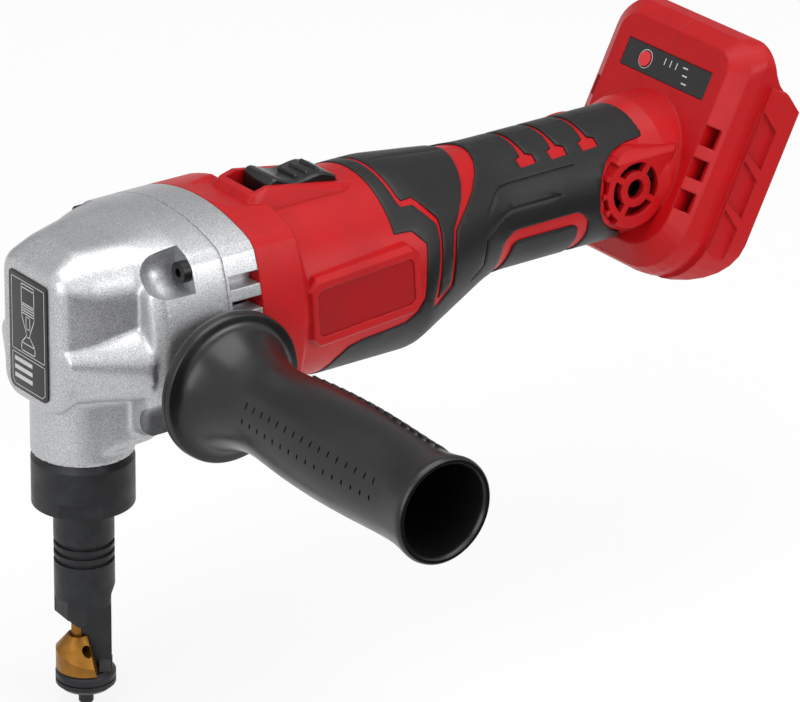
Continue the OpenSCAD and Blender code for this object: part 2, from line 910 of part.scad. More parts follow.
// ---------------------------------------------------------------- switch and electronics

module switch_slider() {
    color("#1d1d1f") {
        translate([switch_x, 0, 0]) prism_y(-7.7, 7.7) polygon([
            [0, 31], [0, 37.4], [1.6, 39.2], [3.4, 39], [7, 37.4], [12.5, 36.4],
            [16, 36.8], [20.6, 37.4], [24.6, 36], [26.8, 34.6], [26.8, 31]
        ]);
        box([switch_x + 8, -3, 29.4], [switch_x + 14, 3, 31.2]);
    }
}

module switch_bar() {
    color("#3c3d40") {
        box([switch_x + 6, -4, 27.8], [115, 4, 29.4]);
        box([113, -4, 19.4], [115, 4, 28]);
    }
}

module switch_unit() {
    color("#222326") {
        box([119, -7, 12], [137, 7, 23]);
        rod_x(1.8, 115.2, 119.2, 0, 21);
    }
}

module control_panel() {
    color("#232426") in_foot() difference() {
        box([0.2, -22, -4.8], [1.2, 22, 4.8]);
        rod_x(2.8, -1, 3, 11);
    }
}

module speed_button() {
    color("#c4161c") in_foot() {
        rod_x(2.7, -0.4, 3.2, 11);
        rod_x(3.3, 2, 3.2, 11);
    }
}

module panel_board() {
    color("#1f6b3a") in_foot() {
        box([5.2, -26, -9], [6.8, 26, 9]);
        box([4.2, 9, -2], [5.3, 13, 2]);
    }
}

module controller_board() {
    color("#1f6b3a") {
        box([144, -12.6, 9.4], [198, 12.6, 11]);
        for (x = [150, 160, 170]) box([x, -9, 11], [x + 6, -2, 14.4]);
        rod_x(5, 178, 194, 5, 16.2);
    }
}

module controller_tray() {
    color("#8a8c90") difference() {
        box([142, -14.2, 3], [200, 14.2, 13]);
        box([143.6, -12.8, 4.6], [198.4, 12.8, 14]);
    }
}

module terminal_block() {
    color("#1d1d1f") in_foot() box([bay_floor - 3.6, -16.6, -54], [bay_floor + 7, 16.6, -34]);
}

module terminal_blades() {
    color("#c9a24a") in_foot() for (y = [-12, -4, 4, 12])
        box([bay_floor + 1, y - 0.4, -34], [bay_floor + 6, y + 0.4, -22]);
}

module motor_leads() {
    lead_r = 1.1;
    low = -14;
    high = 14.1;
    bend_r = 1.4;
    color("#7a1c1c") for (y = [-5, 0, 5]) {
        rod_x(lead_r, 100, 140.5, y, low, $fn = 24);
        rod_z(bend_r, low - bend_r, high + bend_r, 140.5, y, $fn = 24);
        rod_x(lead_r, 140.5, 146, y, high, $fn = 24);
        rod_z(bend_r, 11, high + bend_r, 146, y, $fn = 24);
    }
}

module battery_leads() {
    color("#26262a") for (y = [-8, 8]) rod_x(1.3, 196, 230.5, y, 1.7, $fn = 24);
}

// ---------------------------------------------------------------- side handle

// Turned shape of the handle about its own axis: distance from the middle plane, radius
handle_outline = concat(
    [[42, 9], [42, flange_r - 1.5]],
    [[43, flange_r], [45, flange_r], [46.5, flange_r - 1.2], [49, 20.6], [53, 17.8], [59, 15.8]],
    [[66, 15.2], [74, 15.4], [82, 16.1], [92, 16.7], [104, 17], [118, 16.8], [132, 16.1]],
    [[142, 16], [149, 16.6], [154, 17.6], [156, 17.6]],
    [[handle_end, 17], [handle_end, 14.4], [92, 12.4], [60, 11.4], [58, 4]]
);

module handle_grip() {
    color("#1b1b1d") translate([handle_x, 0, -handle_drop]) rotate([90, 0, 0]) difference() {
        rotate_extrude() polygon(concat([for (p = handle_outline) [p[1], p[0]]], [[4, 42]]));
        cylinder(r = stud_r, h = far);
        translate([0, 0, 41]) cylinder(r = 7.6, h = 9, $fn = 6);
    }
}

module handle_stud() {
    color("#9ea1a5") translate([handle_x, 0, -handle_drop]) rotate([90, 0, 0]) {
        translate([0, 0, 31.8]) cylinder(r = stud_r, h = 25);
        translate([0, 0, 42.2]) cylinder(r = 7.5, h = 7.6, $fn = 6);
    }
}

module handle_plug() {
    color("#1b1b1d") translate([handle_x, -60.1, -handle_drop]) rotate([90, 0, 0])
        cylinder(r = 11.38, h = 3);
}

gear_housing();
motor_bracket();
head_screws();
head_label();
die_holder();
die();
die_bolt();
lock_collar();
punch();
ram_yoke();
ram_bush();
ram_seal();
crank_carrier();
eccentric_roller();
crank_bearing();
ring_gear();
planet_gear_1();
planet_gear_2();
planet_gear_3();
rotor_shaft();
rotor_core();
cooling_fan();
fan_shroud();
front_bearing();
rear_bearing();
stator_core();
stator_windings();
sensor_board();
housing_left();
housing_right();
housing_screws();
grip_skin_left();
grip_skin_right();
label_left();
label_right();
switch_slider();
switch_bar();
switch_unit();
control_panel();
speed_button();
panel_board();
controller_board();
controller_tray();
terminal_block();
terminal_blades();
motor_leads();
battery_leads();
handle_grip();
handle_stud();
handle_plug();
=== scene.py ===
import math

import bmesh
import bpy
from mathutils import Matrix, Vector


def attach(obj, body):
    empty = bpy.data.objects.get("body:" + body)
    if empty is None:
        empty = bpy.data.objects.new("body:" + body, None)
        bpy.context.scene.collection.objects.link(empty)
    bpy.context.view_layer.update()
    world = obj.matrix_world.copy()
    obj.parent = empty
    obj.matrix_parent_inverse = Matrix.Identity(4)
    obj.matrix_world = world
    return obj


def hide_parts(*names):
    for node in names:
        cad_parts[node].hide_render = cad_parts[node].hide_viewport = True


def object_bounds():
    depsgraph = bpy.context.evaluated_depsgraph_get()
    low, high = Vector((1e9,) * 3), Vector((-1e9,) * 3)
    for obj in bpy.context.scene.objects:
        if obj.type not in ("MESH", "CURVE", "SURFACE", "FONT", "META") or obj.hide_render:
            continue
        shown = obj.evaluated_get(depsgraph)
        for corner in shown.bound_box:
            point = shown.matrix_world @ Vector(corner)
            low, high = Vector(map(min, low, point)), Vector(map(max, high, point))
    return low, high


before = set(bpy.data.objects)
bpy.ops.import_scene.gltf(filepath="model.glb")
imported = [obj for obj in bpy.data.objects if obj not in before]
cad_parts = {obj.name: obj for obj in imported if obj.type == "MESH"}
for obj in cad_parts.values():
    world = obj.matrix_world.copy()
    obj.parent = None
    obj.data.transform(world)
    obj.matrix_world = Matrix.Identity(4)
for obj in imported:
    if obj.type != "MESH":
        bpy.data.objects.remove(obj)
cad_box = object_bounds()

MM = 0.001
scene = bpy.context.scene


# ---------------------------------------------------------------- making shapes, in millimetres

def as_object(bm, name="shape"):
    """A new object in the scene from bm, which is used up."""
    mesh = bpy.data.meshes.new(name)
    bm.to_mesh(mesh)
    bm.free()
    shape = bpy.data.objects.new(name, mesh)
    scene.collection.objects.link(shape)
    return shape


def baked(shape, *helpers):
    """The shape with its modifiers worked in, as a bmesh. The shape and its helpers are removed."""
    bpy.context.view_layer.update()
    graph = bpy.context.evaluated_depsgraph_get()
    bm = bmesh.new()
    result = shape.evaluated_get(graph)
    bm.from_mesh(result.to_mesh())
    result.to_mesh_clear()
    for o in (shape, *helpers):
        mesh = o.data
        bpy.data.objects.remove(o)
        bpy.data.meshes.remove(mesh)
    return bm


def combined(bm, how, *tools):
    """bm after one boolean with each tool in turn: how is UNION, DIFFERENCE or INTERSECT."""
    shape = as_object(bm)
    cutters = [as_object(tool) for tool in tools]
    for cutter in cutters:
        step = shape.modifiers.new("cut", "BOOLEAN")
        step.operation, step.solver, step.object = how, "MANIFOLD", cutter
    return baked(shape, *cutters)


def softened(bm, grain, turns, hold=None):
    """One skin over overlapping solids, with its edges worn round. hold(point) is 0 where the shape stays sharp."""
    shape = as_object(bm)
    skin = shape.modifiers.new("skin", "REMESH")
    skin.mode, skin.voxel_size = "VOXEL", grain
    shape = as_object(baked(shape))
    smooth = shape.modifiers.new("smooth", "SMOOTH")
    smooth.factor, smooth.iterations = 0.5, turns
    if hold:
        group = shape.vertex_groups.new(name="soft")
        for v in shape.data.vertices:
            group.add([v.index], hold(v.co), "REPLACE")
        smooth.vertex_group = "soft"
    return baked(shape)


def placed(bm, turn=(0, 0, 0), to=(0, 0, 0)):
    """bm turned by degrees about X, Y and Z, then moved."""
    for angle, axis in zip(turn, "XYZ"):
        if angle:
            turned_by = Matrix.Rotation(math.radians(angle), 3, axis)
            bmesh.ops.rotate(bm, cent=(0, 0, 0), matrix=turned_by, verts=bm.verts)
    bmesh.ops.translate(bm, vec=to, verts=bm.verts)
    return bm


def joined(*parts):
    """Several bmeshes in one."""
    whole = parts[0]
    for part in parts[1:]:
        mesh = bpy.data.meshes.new("part")
        part.to_mesh(mesh)
        part.free()
        whole.from_mesh(mesh)
        bpy.data.meshes.remove(mesh)
    return whole


def mirrored(bm):
    """bm on the other side of the middle plane."""
    bmesh.ops.scale(bm, vec=(1, -1, 1), verts=bm.verts)
    bmesh.ops.reverse_faces(bm, faces=bm.faces)
    return bm


def rounded_off(bm, edges, width, segments):
    """Rounds the given edges."""
    bmesh.ops.bevel(bm, geom=edges, affect="EDGES", offset=width, offset_type="OFFSET", segments=segments,
                    profile=0.5, material=-1, clamp_overlap=True)


def block(low, high, bevel=0, segments=3):
    """Box between two opposite corners."""
    bm = bmesh.new()
    bmesh.ops.create_cube(bm, size=1)
    bmesh.ops.scale(bm, vec=[h - l for l, h in zip(low, high)], verts=bm.verts)
    bmesh.ops.translate(bm, vec=[(h + l) / 2 for l, h in zip(low, high)], verts=bm.verts)
    if bevel:
        rounded_off(bm, bm.edges[:], bevel, segments)
    return bm


def rod(radius, start, end, radius_2=None, sides=64):
    """Rod or cone from start to end, two points."""
    start, end = Vector(start), Vector(end)
    bm = bmesh.new()
    bmesh.ops.create_cone(bm, cap_ends=True, segments=sides, radius1=radius,
                          radius2=radius if radius_2 is None else radius_2, depth=(end - start).length)
    turn = (end - start).to_track_quat("Z", "Y").to_matrix()
    bmesh.ops.rotate(bm, cent=(0, 0, 0), matrix=turn, verts=bm.verts)
    bmesh.ops.translate(bm, vec=(start + end) / 2, verts=bm.verts)
    return bm


def ball(radius, centre, squash=(1, 1, 1), detail=3):
    """Ball, or an egg with other half axes along X, Y and Z."""
    bm = bmesh.new()
    bmesh.ops.create_icosphere(bm, subdivisions=detail, radius=radius)
    bmesh.ops.scale(bm, vec=squash, verts=bm.verts)
    bmesh.ops.translate(bm, vec=centre, verts=bm.verts)
    return bm


def turned(profile, sides=96):
    """Solid of revolution about Z from a closed outline of (radius, height)."""
    bm = bmesh.new()
    ring = [bm.verts.new((r, 0, z)) for r, z in profile]
    edges = [bm.edges.new((a, b)) for a, b in zip(ring, ring[1:] + ring[:1])]
    bmesh.ops.spin(bm, geom=ring + edges, cent=(0, 0, 0), axis=(0, 0, 1), angle=math.tau,
                   steps=sides, use_merge=True)
    bmesh.ops.remove_doubles(bm, verts=bm.verts, dist=1e-4)
    bmesh.ops.recalc_face_normals(bm, faces=bm.faces)
    return bm


def slab(outline, thickness, bevel=0, segments=3):
    """Flat plate in X and Y from an outline, from Z 0 up, with its upper rim rounded."""
    bm = bmesh.new()
    bm.faces.new([bm.verts.new((x, y, 0)) for x, y in outline])
    top = bmesh.ops.extrude_face_region(bm, geom=bm.faces[:])
    verts = [g for g in top["geom"] if isinstance(g, bmesh.types.BMVert)]
    bmesh.ops.translate(bm, vec=(0, 0, thickness), verts=verts)
    bmesh.ops.recalc_face_normals(bm, faces=bm.faces)
    if bevel:
        rim = [e for e in bm.edges if all(v.co.z > thickness - 1e-5 for v in e.verts)]
        rounded_off(bm, rim, bevel, segments)
    return bm


def hull(*points):
    """Smallest convex solid round the points."""
    bm = bmesh.new()
    for p in points:
        bm.verts.new(p)
    bmesh.ops.convex_hull(bm, input=bm.verts)
    bmesh.ops.delete(bm, geom=[v for v in bm.verts if not v.link_faces], context="VERTS")
    bmesh.ops.recalc_face_normals(bm, faces=bm.faces)
    return bm


def arc(cx, cy, r, a0, a1, n=8):
    """Points on an arc from the angle a0 to a1, in degrees."""
    angles = [math.radians(a0 + (a1 - a0) * i / n) for i in range(n + 1)]
    return [(cx + r * math.cos(a), cy + r * math.sin(a)) for a in angles]


def round_rect(half, low, high, r_low, r_high, n=8):
    """Rectangle with round corners: the lower two of r_low, the upper two of r_high."""
    return (arc(half - r_high, high - r_high, r_high, 0, 90, n)
            + arc(-half + r_high, high - r_high, r_high, 90, 180, n)
            + arc(-half + r_low, low + r_low, r_low, 180, 270, n)
            + arc(half - r_low, low + r_low, r_low, 270, 360, n))


def bar(outline, width, bevel, segments=3):
    """Bar along Y, centred on the middle plane, from an outline in X and Z, with both its ends rounded."""
    bm = slab(outline, width)
    ends = [e for e in bm.edges if e.verts[0].co.z == e.verts[1].co.z]
    rounded_off(bm, ends, bevel, segments)
    return placed(bm, turn=(90, 0, 0), to=(0, width / 2, 0))


def faced(bm, right, up, at):
    """bm with its X, Y and Z turned to right, up and towards the reader, then moved to at."""
    right, up = Vector(right).normalized(), Vector(up).normalized()
    bmesh.ops.rotate(bm, cent=(0, 0, 0), matrix=Matrix((right, up, right.cross(up))).transposed(), verts=bm.verts)
    bmesh.ops.translate(bm, vec=at, verts=bm.verts)
    return bm


def line(width, *points, thickness=0.05, closed=False):
    """Printed line of one width through flat points."""
    points = [Vector(p) for p in points]
    if closed:
        points.append(points[0])
    strips = []
    for a, b in zip(points, points[1:]):
        way = (b - a).normalized() * width / 2
        a, b, side = a - way, b + way, Vector((-way.y, way.x))
        strips.append(slab([a + side, a - side, b - side, b + side], thickness))
    return joined(*strips)


def at_x(x, outline):
    """An outline in Y and Z, set at x."""
    return [(x, y, z) for y, z in outline]


def piece(bm, name, body, material, replaces=(), crease=32):
    """A finished piece: bm in metres, shaded smooth up to the crease angle, riding on its body."""
    bmesh.ops.scale(bm, vec=(MM,) * 3, verts=bm.verts)
    limit = math.radians(crease)
    for f in bm.faces:
        f.smooth = True
    for e in bm.edges:
        e.smooth = len(e.link_faces) == 2 and e.calc_face_angle(0) < limit
    made = as_object(bm, name)
    made.data.materials.clear()
    for m in material if isinstance(material, (list, tuple)) else [material]:
        made.data.materials.append(m)
    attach(made, body)
    if replaces:
        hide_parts(*replaces)
    return made


# ---------------------------------------------------------------- finishes

def linear(code):
    """A hex sRGB colour as linear RGBA."""
    parts = [int(code[i:i + 2], 16) / 255 for i in (1, 3, 5)]
    return tuple(c / 12.92 if c <= 0.04045 else ((c + 0.055) / 1.055) ** 2.4 for c in parts) + (1,)


def add(tree, kind, settings=None, **sockets):
    """Adds a node. settings are its properties; sockets are its inputs, by name or as iN, as values or links."""
    node = tree.nodes.new("ShaderNode" + kind)
    for key, value in (settings or {}).items():
        setattr(node, key, value)
    for key, value in sockets.items():
        by_number = key[0] == "i" and key[1:].isdigit()
        target = node.inputs[int(key[1:]) if by_number else key.replace("_", " ")]
        if isinstance(value, bpy.types.NodeSocket):
            tree.links.new(value, target)
        else:
            target.default_value = value
    return node


def finish(name):
    """A new material with its node tree, its shader and its object coordinates."""
    material = bpy.data.materials.new(name)
    material.use_nodes = True
    tree = material.node_tree
    shader = tree.nodes["Principled BSDF"]
    place = add(tree, "TexCoord").outputs["Object"]
    return material, tree, shader, place


def grain(tree, place, size_mm, detail=3.0, rough=0.55):
    """Noise whose grains are about size_mm across."""
    noise = add(tree, "TexNoise", Vector=place, Scale=1 / (size_mm * MM), Detail=detail, Roughness=rough)
    return noise.outputs["Fac"]


def spread(tree, value, low, high, from_low=0.3, from_high=0.7):
    """value stretched from one range to another."""
    return add(tree, "MapRange", i0=value, i1=from_low, i2=from_high, i3=low, i4=high).outputs[0]


def blend(tree, share, one, two):
    """A colour between two, each a link or a hex code."""
    mix = add(tree, "Mix", {"data_type": "RGBA"}, i0=share)
    for index, colour in ((6, one), (7, two)):
        if isinstance(colour, str):
            mix.inputs[index].default_value = linear(colour)
        else:
            tree.links.new(colour, mix.inputs[index])
    return mix.outputs[2]


def raised(tree, height, depth_mm, normal=None):
    """Relief of the given depth, over another normal if there is one."""
    extra = {"Normal": normal} if normal else {}
    return add(tree, "Bump", Height=height, Distance=depth_mm * MM, Strength=1.0, **extra).outputs["Normal"]


def rounded(tree, radius_mm):
    """Edges that look worn round, for parts whose solids are sharp."""
    return add(tree, "Bevel", {"samples": 4}, Radius=radius_mm * MM).outputs["Normal"]


def cast_silver_paint(name, edge):
    """Die-cast aluminium under grainy silver lacquer: satin, with flakes that glint and a fine orange peel.

    Real flakes are about 0.05 mm. They are drawn at 0.34 mm, because finer ones wouldn't show.
    """
    material, tree, shader, place = finish(name)
    flakes = grain(tree, place, 0.34, 2.0, 0.7)
    clouds = grain(tree, place, 9, 2.0)
    tone = blend(tree, spread(tree, flakes, 0, 1, 0.36, 0.64), "#949597", "#d6d7d9")
    tone = blend(tree, spread(tree, clouds, 0, 0.18), tone, "#bfc0c2")
    tree.links.new(tone, shader.inputs["Base Color"])
    shader.inputs["Metallic"].default_value = 0.82
    tree.links.new(spread(tree, flakes, 0.30, 0.46), shader.inputs["Roughness"])
    tree.links.new(raised(tree, flakes, 0.03, rounded(tree, edge) if edge else None), shader.inputs["Normal"])
    return material


def moulded(name, code, worn, gloss, texture_mm=0.5, depth=0.02, edge=0.4, spec=0.5):
    """Injection-moulded plastic: one colour with faint clouds, and a spark-eroded texture that softens its gloss.

    The real texture's grain is about 0.1 mm. It is drawn at texture_mm, several times as coarse, so that it shows.
    """
    material, tree, shader, place = finish(name)
    clouds = grain(tree, place, 14, 2.0)
    tree.links.new(blend(tree, spread(tree, clouds, 0, 1), code, worn), shader.inputs["Base Color"])
    texture = grain(tree, place, texture_mm, 2.0, 0.6)
    tree.links.new(spread(tree, clouds, gloss - 0.03, gloss + 0.04), shader.inputs["Roughness"])
    tree.links.new(raised(tree, texture, depth, rounded(tree, edge)), shader.inputs["Normal"])
    shader.inputs["IOR"].default_value = 1.53
    shader.inputs["Specular IOR Level"].default_value = spec
    return material


WAVE_TO_PITCH = 0.314  # scale of the wave texture that gives one band per metre


def machined(name, code, dark, rough, metallic=1.0, pitch_mm=0.25, depth=0.004, axis="Z", edge=0.25):
    """Turned metal: fine rings round the axis, and a tone that drifts a little.

    Real feed marks are about 0.1 mm apart. They are drawn pitch_mm apart, because closer ones wouldn't show.
    """
    material, tree, shader, place = finish(name)
    waves = add(tree, "TexWave", {"wave_type": "BANDS", "bands_direction": axis}, Vector=place,
                Scale=WAVE_TO_PITCH / (pitch_mm * MM), Distortion=0.6, Detail=1.0)
    rings = waves.outputs["Fac"]
    clouds = grain(tree, place, 5, 3.0)
    tree.links.new(blend(tree, spread(tree, clouds, 0, 1), code, dark), shader.inputs["Base Color"])
    tree.links.new(spread(tree, clouds, rough - 0.05, rough + 0.07), shader.inputs["Roughness"])
    shader.inputs["Metallic"].default_value = metallic
    tree.links.new(raised(tree, rings, depth, rounded(tree, edge)), shader.inputs["Normal"])
    return material


# Bracket: bright satin, edges worn round
silver = cast_silver_paint("silver_lacquer_on_cast_aluminium", 0.45)
# Head: the same lacquer, on edges that are round in the mesh
silver_soft = cast_silver_paint("silver_lacquer_on_soft_casting", 0)
# Housing: satin red, broad soft highlights
red_abs = moulded("moulded_red_abs", "#b3070f", "#a8060d", 0.42, 0.45, 0.012, 1.1, 0.24)
# Bare label: darker, flat and a little glossier
red_plate = moulded("bare_red_label", "#9c0a12", "#94080f", 0.32, 0.8, 0.004, 0.2, 0.3)
# Grip skin: dull black, spreads light widely
black_tpe = moulded("moulded_black_tpe", "#151516", "#101011", 0.46, 0.4, 0.03, 0.35, 0.3)
# Handle and rocker: deep black with a soft sheen
black_nylon = moulded("moulded_black_nylon", "#101011", "#0c0c0d", 0.3, 0.5, 0.012, 0.3, 0.42)
# Die holder and collar: dark grey, dry metal sheen
blackened = machined("blackened_turned_steel", "#2a2b2d", "#202123", 0.44, 0.5)
# Punch and die: warm brown gold, satin
gold_tin = machined("gold_titanium_nitride", "#9a6c2c", "#825821", 0.42, 0.9)
# Ram, shafts and bearings: bright, close highlights
ground = machined("ground_steel", "#b4b6ba", "#a3a5a9", 0.25)
# Gears: mid grey, satin
gear_steel = machined("hardened_gear_steel", "#7d8084", "#6b6e72", 0.35, axis="X")
# Ram's bush: dull yellow brown
bronze = machined("sintered_bronze", "#a8792f", "#8d6526", 0.5)
# Screws: near black, oily sheen
screw_black = machined("black_oxide_screw", "#1b1b1d", "#141416", 0.38, 0.4, axis="X")
# Boards: glossy dark green
board_green = moulded("solder_mask_green", "#1c5a35", "#184f2e", 0.25, 1.2, 0.01, 0.1)
# Windings: varnished orange brown, wire by wire
copper = machined("enamelled_copper", "#b5652a", "#9c5423", 0.3, 0.9, 0.7, 0.05, "X")
# Contacts: pale yellow, bright
plated = machined("plated_contact", "#c9b27a", "#b8a06a", 0.25, 1.0)
# Controller's tray: plain light grey
aluminium = machined("plain_aluminium", "#a6a8ab", "#989a9d", 0.35)
# Stator and rotor: grey, with the sheets' edges
laminated = machined("varnished_laminations", "#55575b", "#48494d", 0.4, 0.6, 0.5, 0.03, "X")
# Ram's seal: matt dark brown
seal_rubber = moulded("oiled_seal_rubber", "#2b2a28", "#232220", 0.6, 0.3, 0.05, 0.1)
# Wires: dull red
lead_red = moulded("red_insulation", "#7a1c1c", "#6c1616", 0.4, 0.6, 0.01, 0.1)
# Panel: smooth black film
panel_film = moulded("dark_panel_film", "#1b1b1e", "#18181a", 0.3, 0.8, 0.003, 0.15, 0.35)
# Speed button: bright, smooth red
button_red = moulded("moulded_red_button", "#d3202a", "#c81a24", 0.25, 0.6, 0.003, 0.2)
# Printed lines: matt light grey
light_print = moulded("light_grey_ink", "#c9cacb", "#bdbebf", 0.5, 0.8, 0.002, 0.02)
# Front label: smooth black film
label_film = moulded("printed_black_film", "#1d1e20", "#1a1b1d", 0.32, 0.8, 0.003, 0.1, 0.35)

NODE_FINISH = {
    "gear_housing": silver, "motor_bracket": silver, "head_screws": screw_black, "head_label": label_film,
    "die_holder": blackened, "die": gold_tin, "die_bolt": blackened, "lock_collar": blackened, "punch": gold_tin,
    "ram_yoke": ground, "ram_bush": bronze, "ram_seal": seal_rubber, "crank_carrier": gear_steel, "eccentric_roller": ground,
    "crank_bearing": ground, "ring_gear": gear_steel, "planet_gear_1": gear_steel, "planet_gear_2": gear_steel,
    "planet_gear_3": gear_steel, "rotor_shaft": ground, "rotor_core": laminated, "cooling_fan": black_nylon,
    "fan_shroud": red_abs, "front_bearing": ground, "rear_bearing": ground, "stator_core": laminated,
    "stator_windings": copper, "sensor_board": board_green, "housing_left": red_abs, "housing_right": red_abs,
    "housing_screws": screw_black, "grip_skin_left": black_tpe, "grip_skin_right": black_tpe,
    "label_left": red_plate, "label_right": red_plate, "switch_slider": black_nylon, "switch_bar": black_nylon,
    "switch_unit": black_nylon, "control_panel": panel_film, "speed_button": button_red, "panel_board": board_green,
    "controller_board": board_green, "controller_tray": aluminium, "terminal_block": black_nylon,
    "terminal_blades": plated, "motor_leads": lead_red, "battery_leads": black_nylon, "handle_grip": black_nylon,
    "handle_stud": ground, "handle_plug": black_nylon,
}
for node, material in NODE_FINISH.items():
    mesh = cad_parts[node].data
    mesh.materials.clear()
    mesh.materials.append(material)


# ---------------------------------------------------------------- body surface: barrel, slanted cone and grip

BARREL, GRIP, LIFT = 33.0, 22.4, 6.5
CONE_START, CONE_END = 118, 155


def eased(x, start, width):
    """Ramp that begins at start, with its corner rounded over width."""
    t = x - start
    return 0 if t < -width else t if t > width else (t + width) ** 2 / (4 * width)


def cone_share(x):
    """0 on the barrel, 1 on the grip."""
    return (eased(x, CONE_START, 2.5) - eased(x, CONE_END, 7)) / (CONE_END - CONE_START)


def on_body(x, angle, height=0.0):
    """Point at x, at an angle in degrees from the top towards the left side, height above the skin."""
    share = cone_share(x)
    r = BARREL + (GRIP - BARREL) * share + height
    a = math.radians(angle)
    return Vector((x, -r * math.sin(a), LIFT * share + r * math.cos(a)))


STRETCH = 0.45  # millimetres that stand for a degree while a patch is flat


def patch(outlines, height, foot=-0.5, rim=0.3, curved=on_body):
    """Padding of one height on the body, with a rounded rim. outlines: the outer loop, then its holes."""
    bm = bmesh.new()
    edges = []
    for loop in outlines:
        ring = [bm.verts.new((x, a * STRETCH, 0)) for x, a in loop]
        edges += [bm.edges.new((a, b)) for a, b in zip(ring, ring[1:] + ring[:1])]
    bmesh.ops.triangle_fill(bm, use_beauty=True, use_dissolve=False, edges=edges, normal=(0, 0, 1))
    for f in bm.faces:
        if f.normal.z < 0:
            f.normal_flip()
    top = bmesh.ops.extrude_face_region(bm, geom=bm.faces[:])["geom"]
    raised_verts = [g for g in top if isinstance(g, bmesh.types.BMVert)]
    bmesh.ops.translate(bm, vec=(0, 0, height - rim - foot), verts=raised_verts)
    faces = [g for g in top if isinstance(g, bmesh.types.BMFace)]
    for inward, upward in ((0.12, 0.62), (0.36, 0.38)):
        bmesh.ops.inset_region(bm, faces=faces, thickness=inward * rim / 0.48,
                               use_even_offset=True, use_boundary=True)
        bmesh.ops.translate(bm, vec=(0, 0, upward * rim), verts=list({v for f in faces for v in f.verts}))
    bmesh.ops.translate(bm, vec=(0, 0, foot), verts=bm.verts)
    low = [min(v.co[i] for v in bm.verts) for i in (0, 1)]
    high = [max(v.co[i] for v in bm.verts) for i in (0, 1)]
    for axis, step in ((0, 2.5), (1, 2.7)):
        for i in range(1, math.ceil((high[axis] - low[axis]) / step)):
            at, way = [0, 0, 0], [0, 0, 0]
            at[axis], way[axis] = low[axis] + i * step, 1
            bmesh.ops.bisect_plane(bm, geom=bm.verts[:] + bm.edges[:] + bm.faces[:],
                                   dist=1e-5, plane_co=at, plane_no=way)
    for v in bm.verts:
        v.co = curved(v.co.x, v.co.y / STRETCH, v.co.z)
    bmesh.ops.remove_doubles(bm, verts=bm.verts, dist=1e-3)
    bmesh.ops.recalc_face_normals(bm, faces=bm.faces)
    return bm


def ribbon(path, width):
    """Flat loop of the given width in millimetres along a path of (x, angle)."""
    flat = [Vector((x, a * STRETCH)) for x, a in path]
    left, right = [], []
    for i, p in enumerate(flat):
        way = (flat[min(i + 1, len(flat) - 1)] - flat[max(i - 1, 0)]).normalized() * width / 2
        left.append(p + Vector((-way.y, way.x)))
        right.append(p - Vector((-way.y, way.x)))
    return [(p.x, p.y / STRETCH) for p in left + right[::-1]]


# Outlines on the body: (millimetres along the tool, degrees from the top)
SKIN_FRONT = [(81, 179.8), (81, 140), (82, 128), (85, 119), (90, 115.5), (100, 113.5), (107, 111.5), (111, 106),
              (113.4, 98), (114, 82), (115.6, 66), (111.2, 57), (104.2, 56), (104.5, 40), (104.8, 20),
              (104.9, 0.2)]
LINE_FRONT = [(110.2, 0.2), (110.1, 25), (110.1, 37), (110.8, 41.5), (115.4, 42), (118.2, 49), (121.8, 57.5),
              (121.6, 66), (120.4, 76), (118.6, 92), (117.6, 103), (118.2, 106.5)]
LINE_REAR = [(111.5, 0.2), (111.4, 25), (111.4, 34), (112, 38), (116.3, 37.6), (119.8, 46), (123.4, 55),
             (123.1, 64), (121.9, 75), (120.1, 90), (119.2, 101)]
BAND_FRONT = [(122.4, 100.6), (125.3, 98), (126.2, 88), (127.2, 77), (129, 66), (132.9, 58), (136.7, 49),
              (139.8, 38), (142, 26), (143.8, 13), (144.8, 0.2)]
BAND_REAR = [(122.6, 104.4), (126.8, 101), (127.6, 88), (128.7, 77), (130.4, 67), (134, 61.5), (138.8, 54.5),
             (143.4, 46), (147.6, 35), (150.6, 23), (152.4, 10), (152.8, 0.2)]
BOSS_EDGE = [(220.6, 0.2), (220.8, 15), (220.2, 30), (218, 42), (210, 43.5), (204, 48.5), (199.6, 57),
             (196.6, 68), (194.9, 82), (195.2, 98), (198, 112), (203, 124), (208.5, 133), (213, 150),
             (214.5, 179.8)]
MARK_STEMS = (169.9, 183.1, 196.4)
SKIN = 0.45  # height of the soft skin's padding over the body surface


def skin_outline():
    """The long piece of the overmould: three marks are notched into its top edge."""
    top = []
    for x in MARK_STEMS:
        top += [(x - 0.5, 0.2), (x - 0.7, 16), (x - 1.4, 30), (x - 3.7, 32.5), (x - 3.5, 41.5),
                (x + 3.3, 40.5), (x + 3.5, 31.5), (x + 1.2, 29), (x + 0.9, 16), (x + 1.0, 0.2)]
    return LINE_FRONT + BAND_REAR + top + BOSS_EDGE + SKIN_FRONT


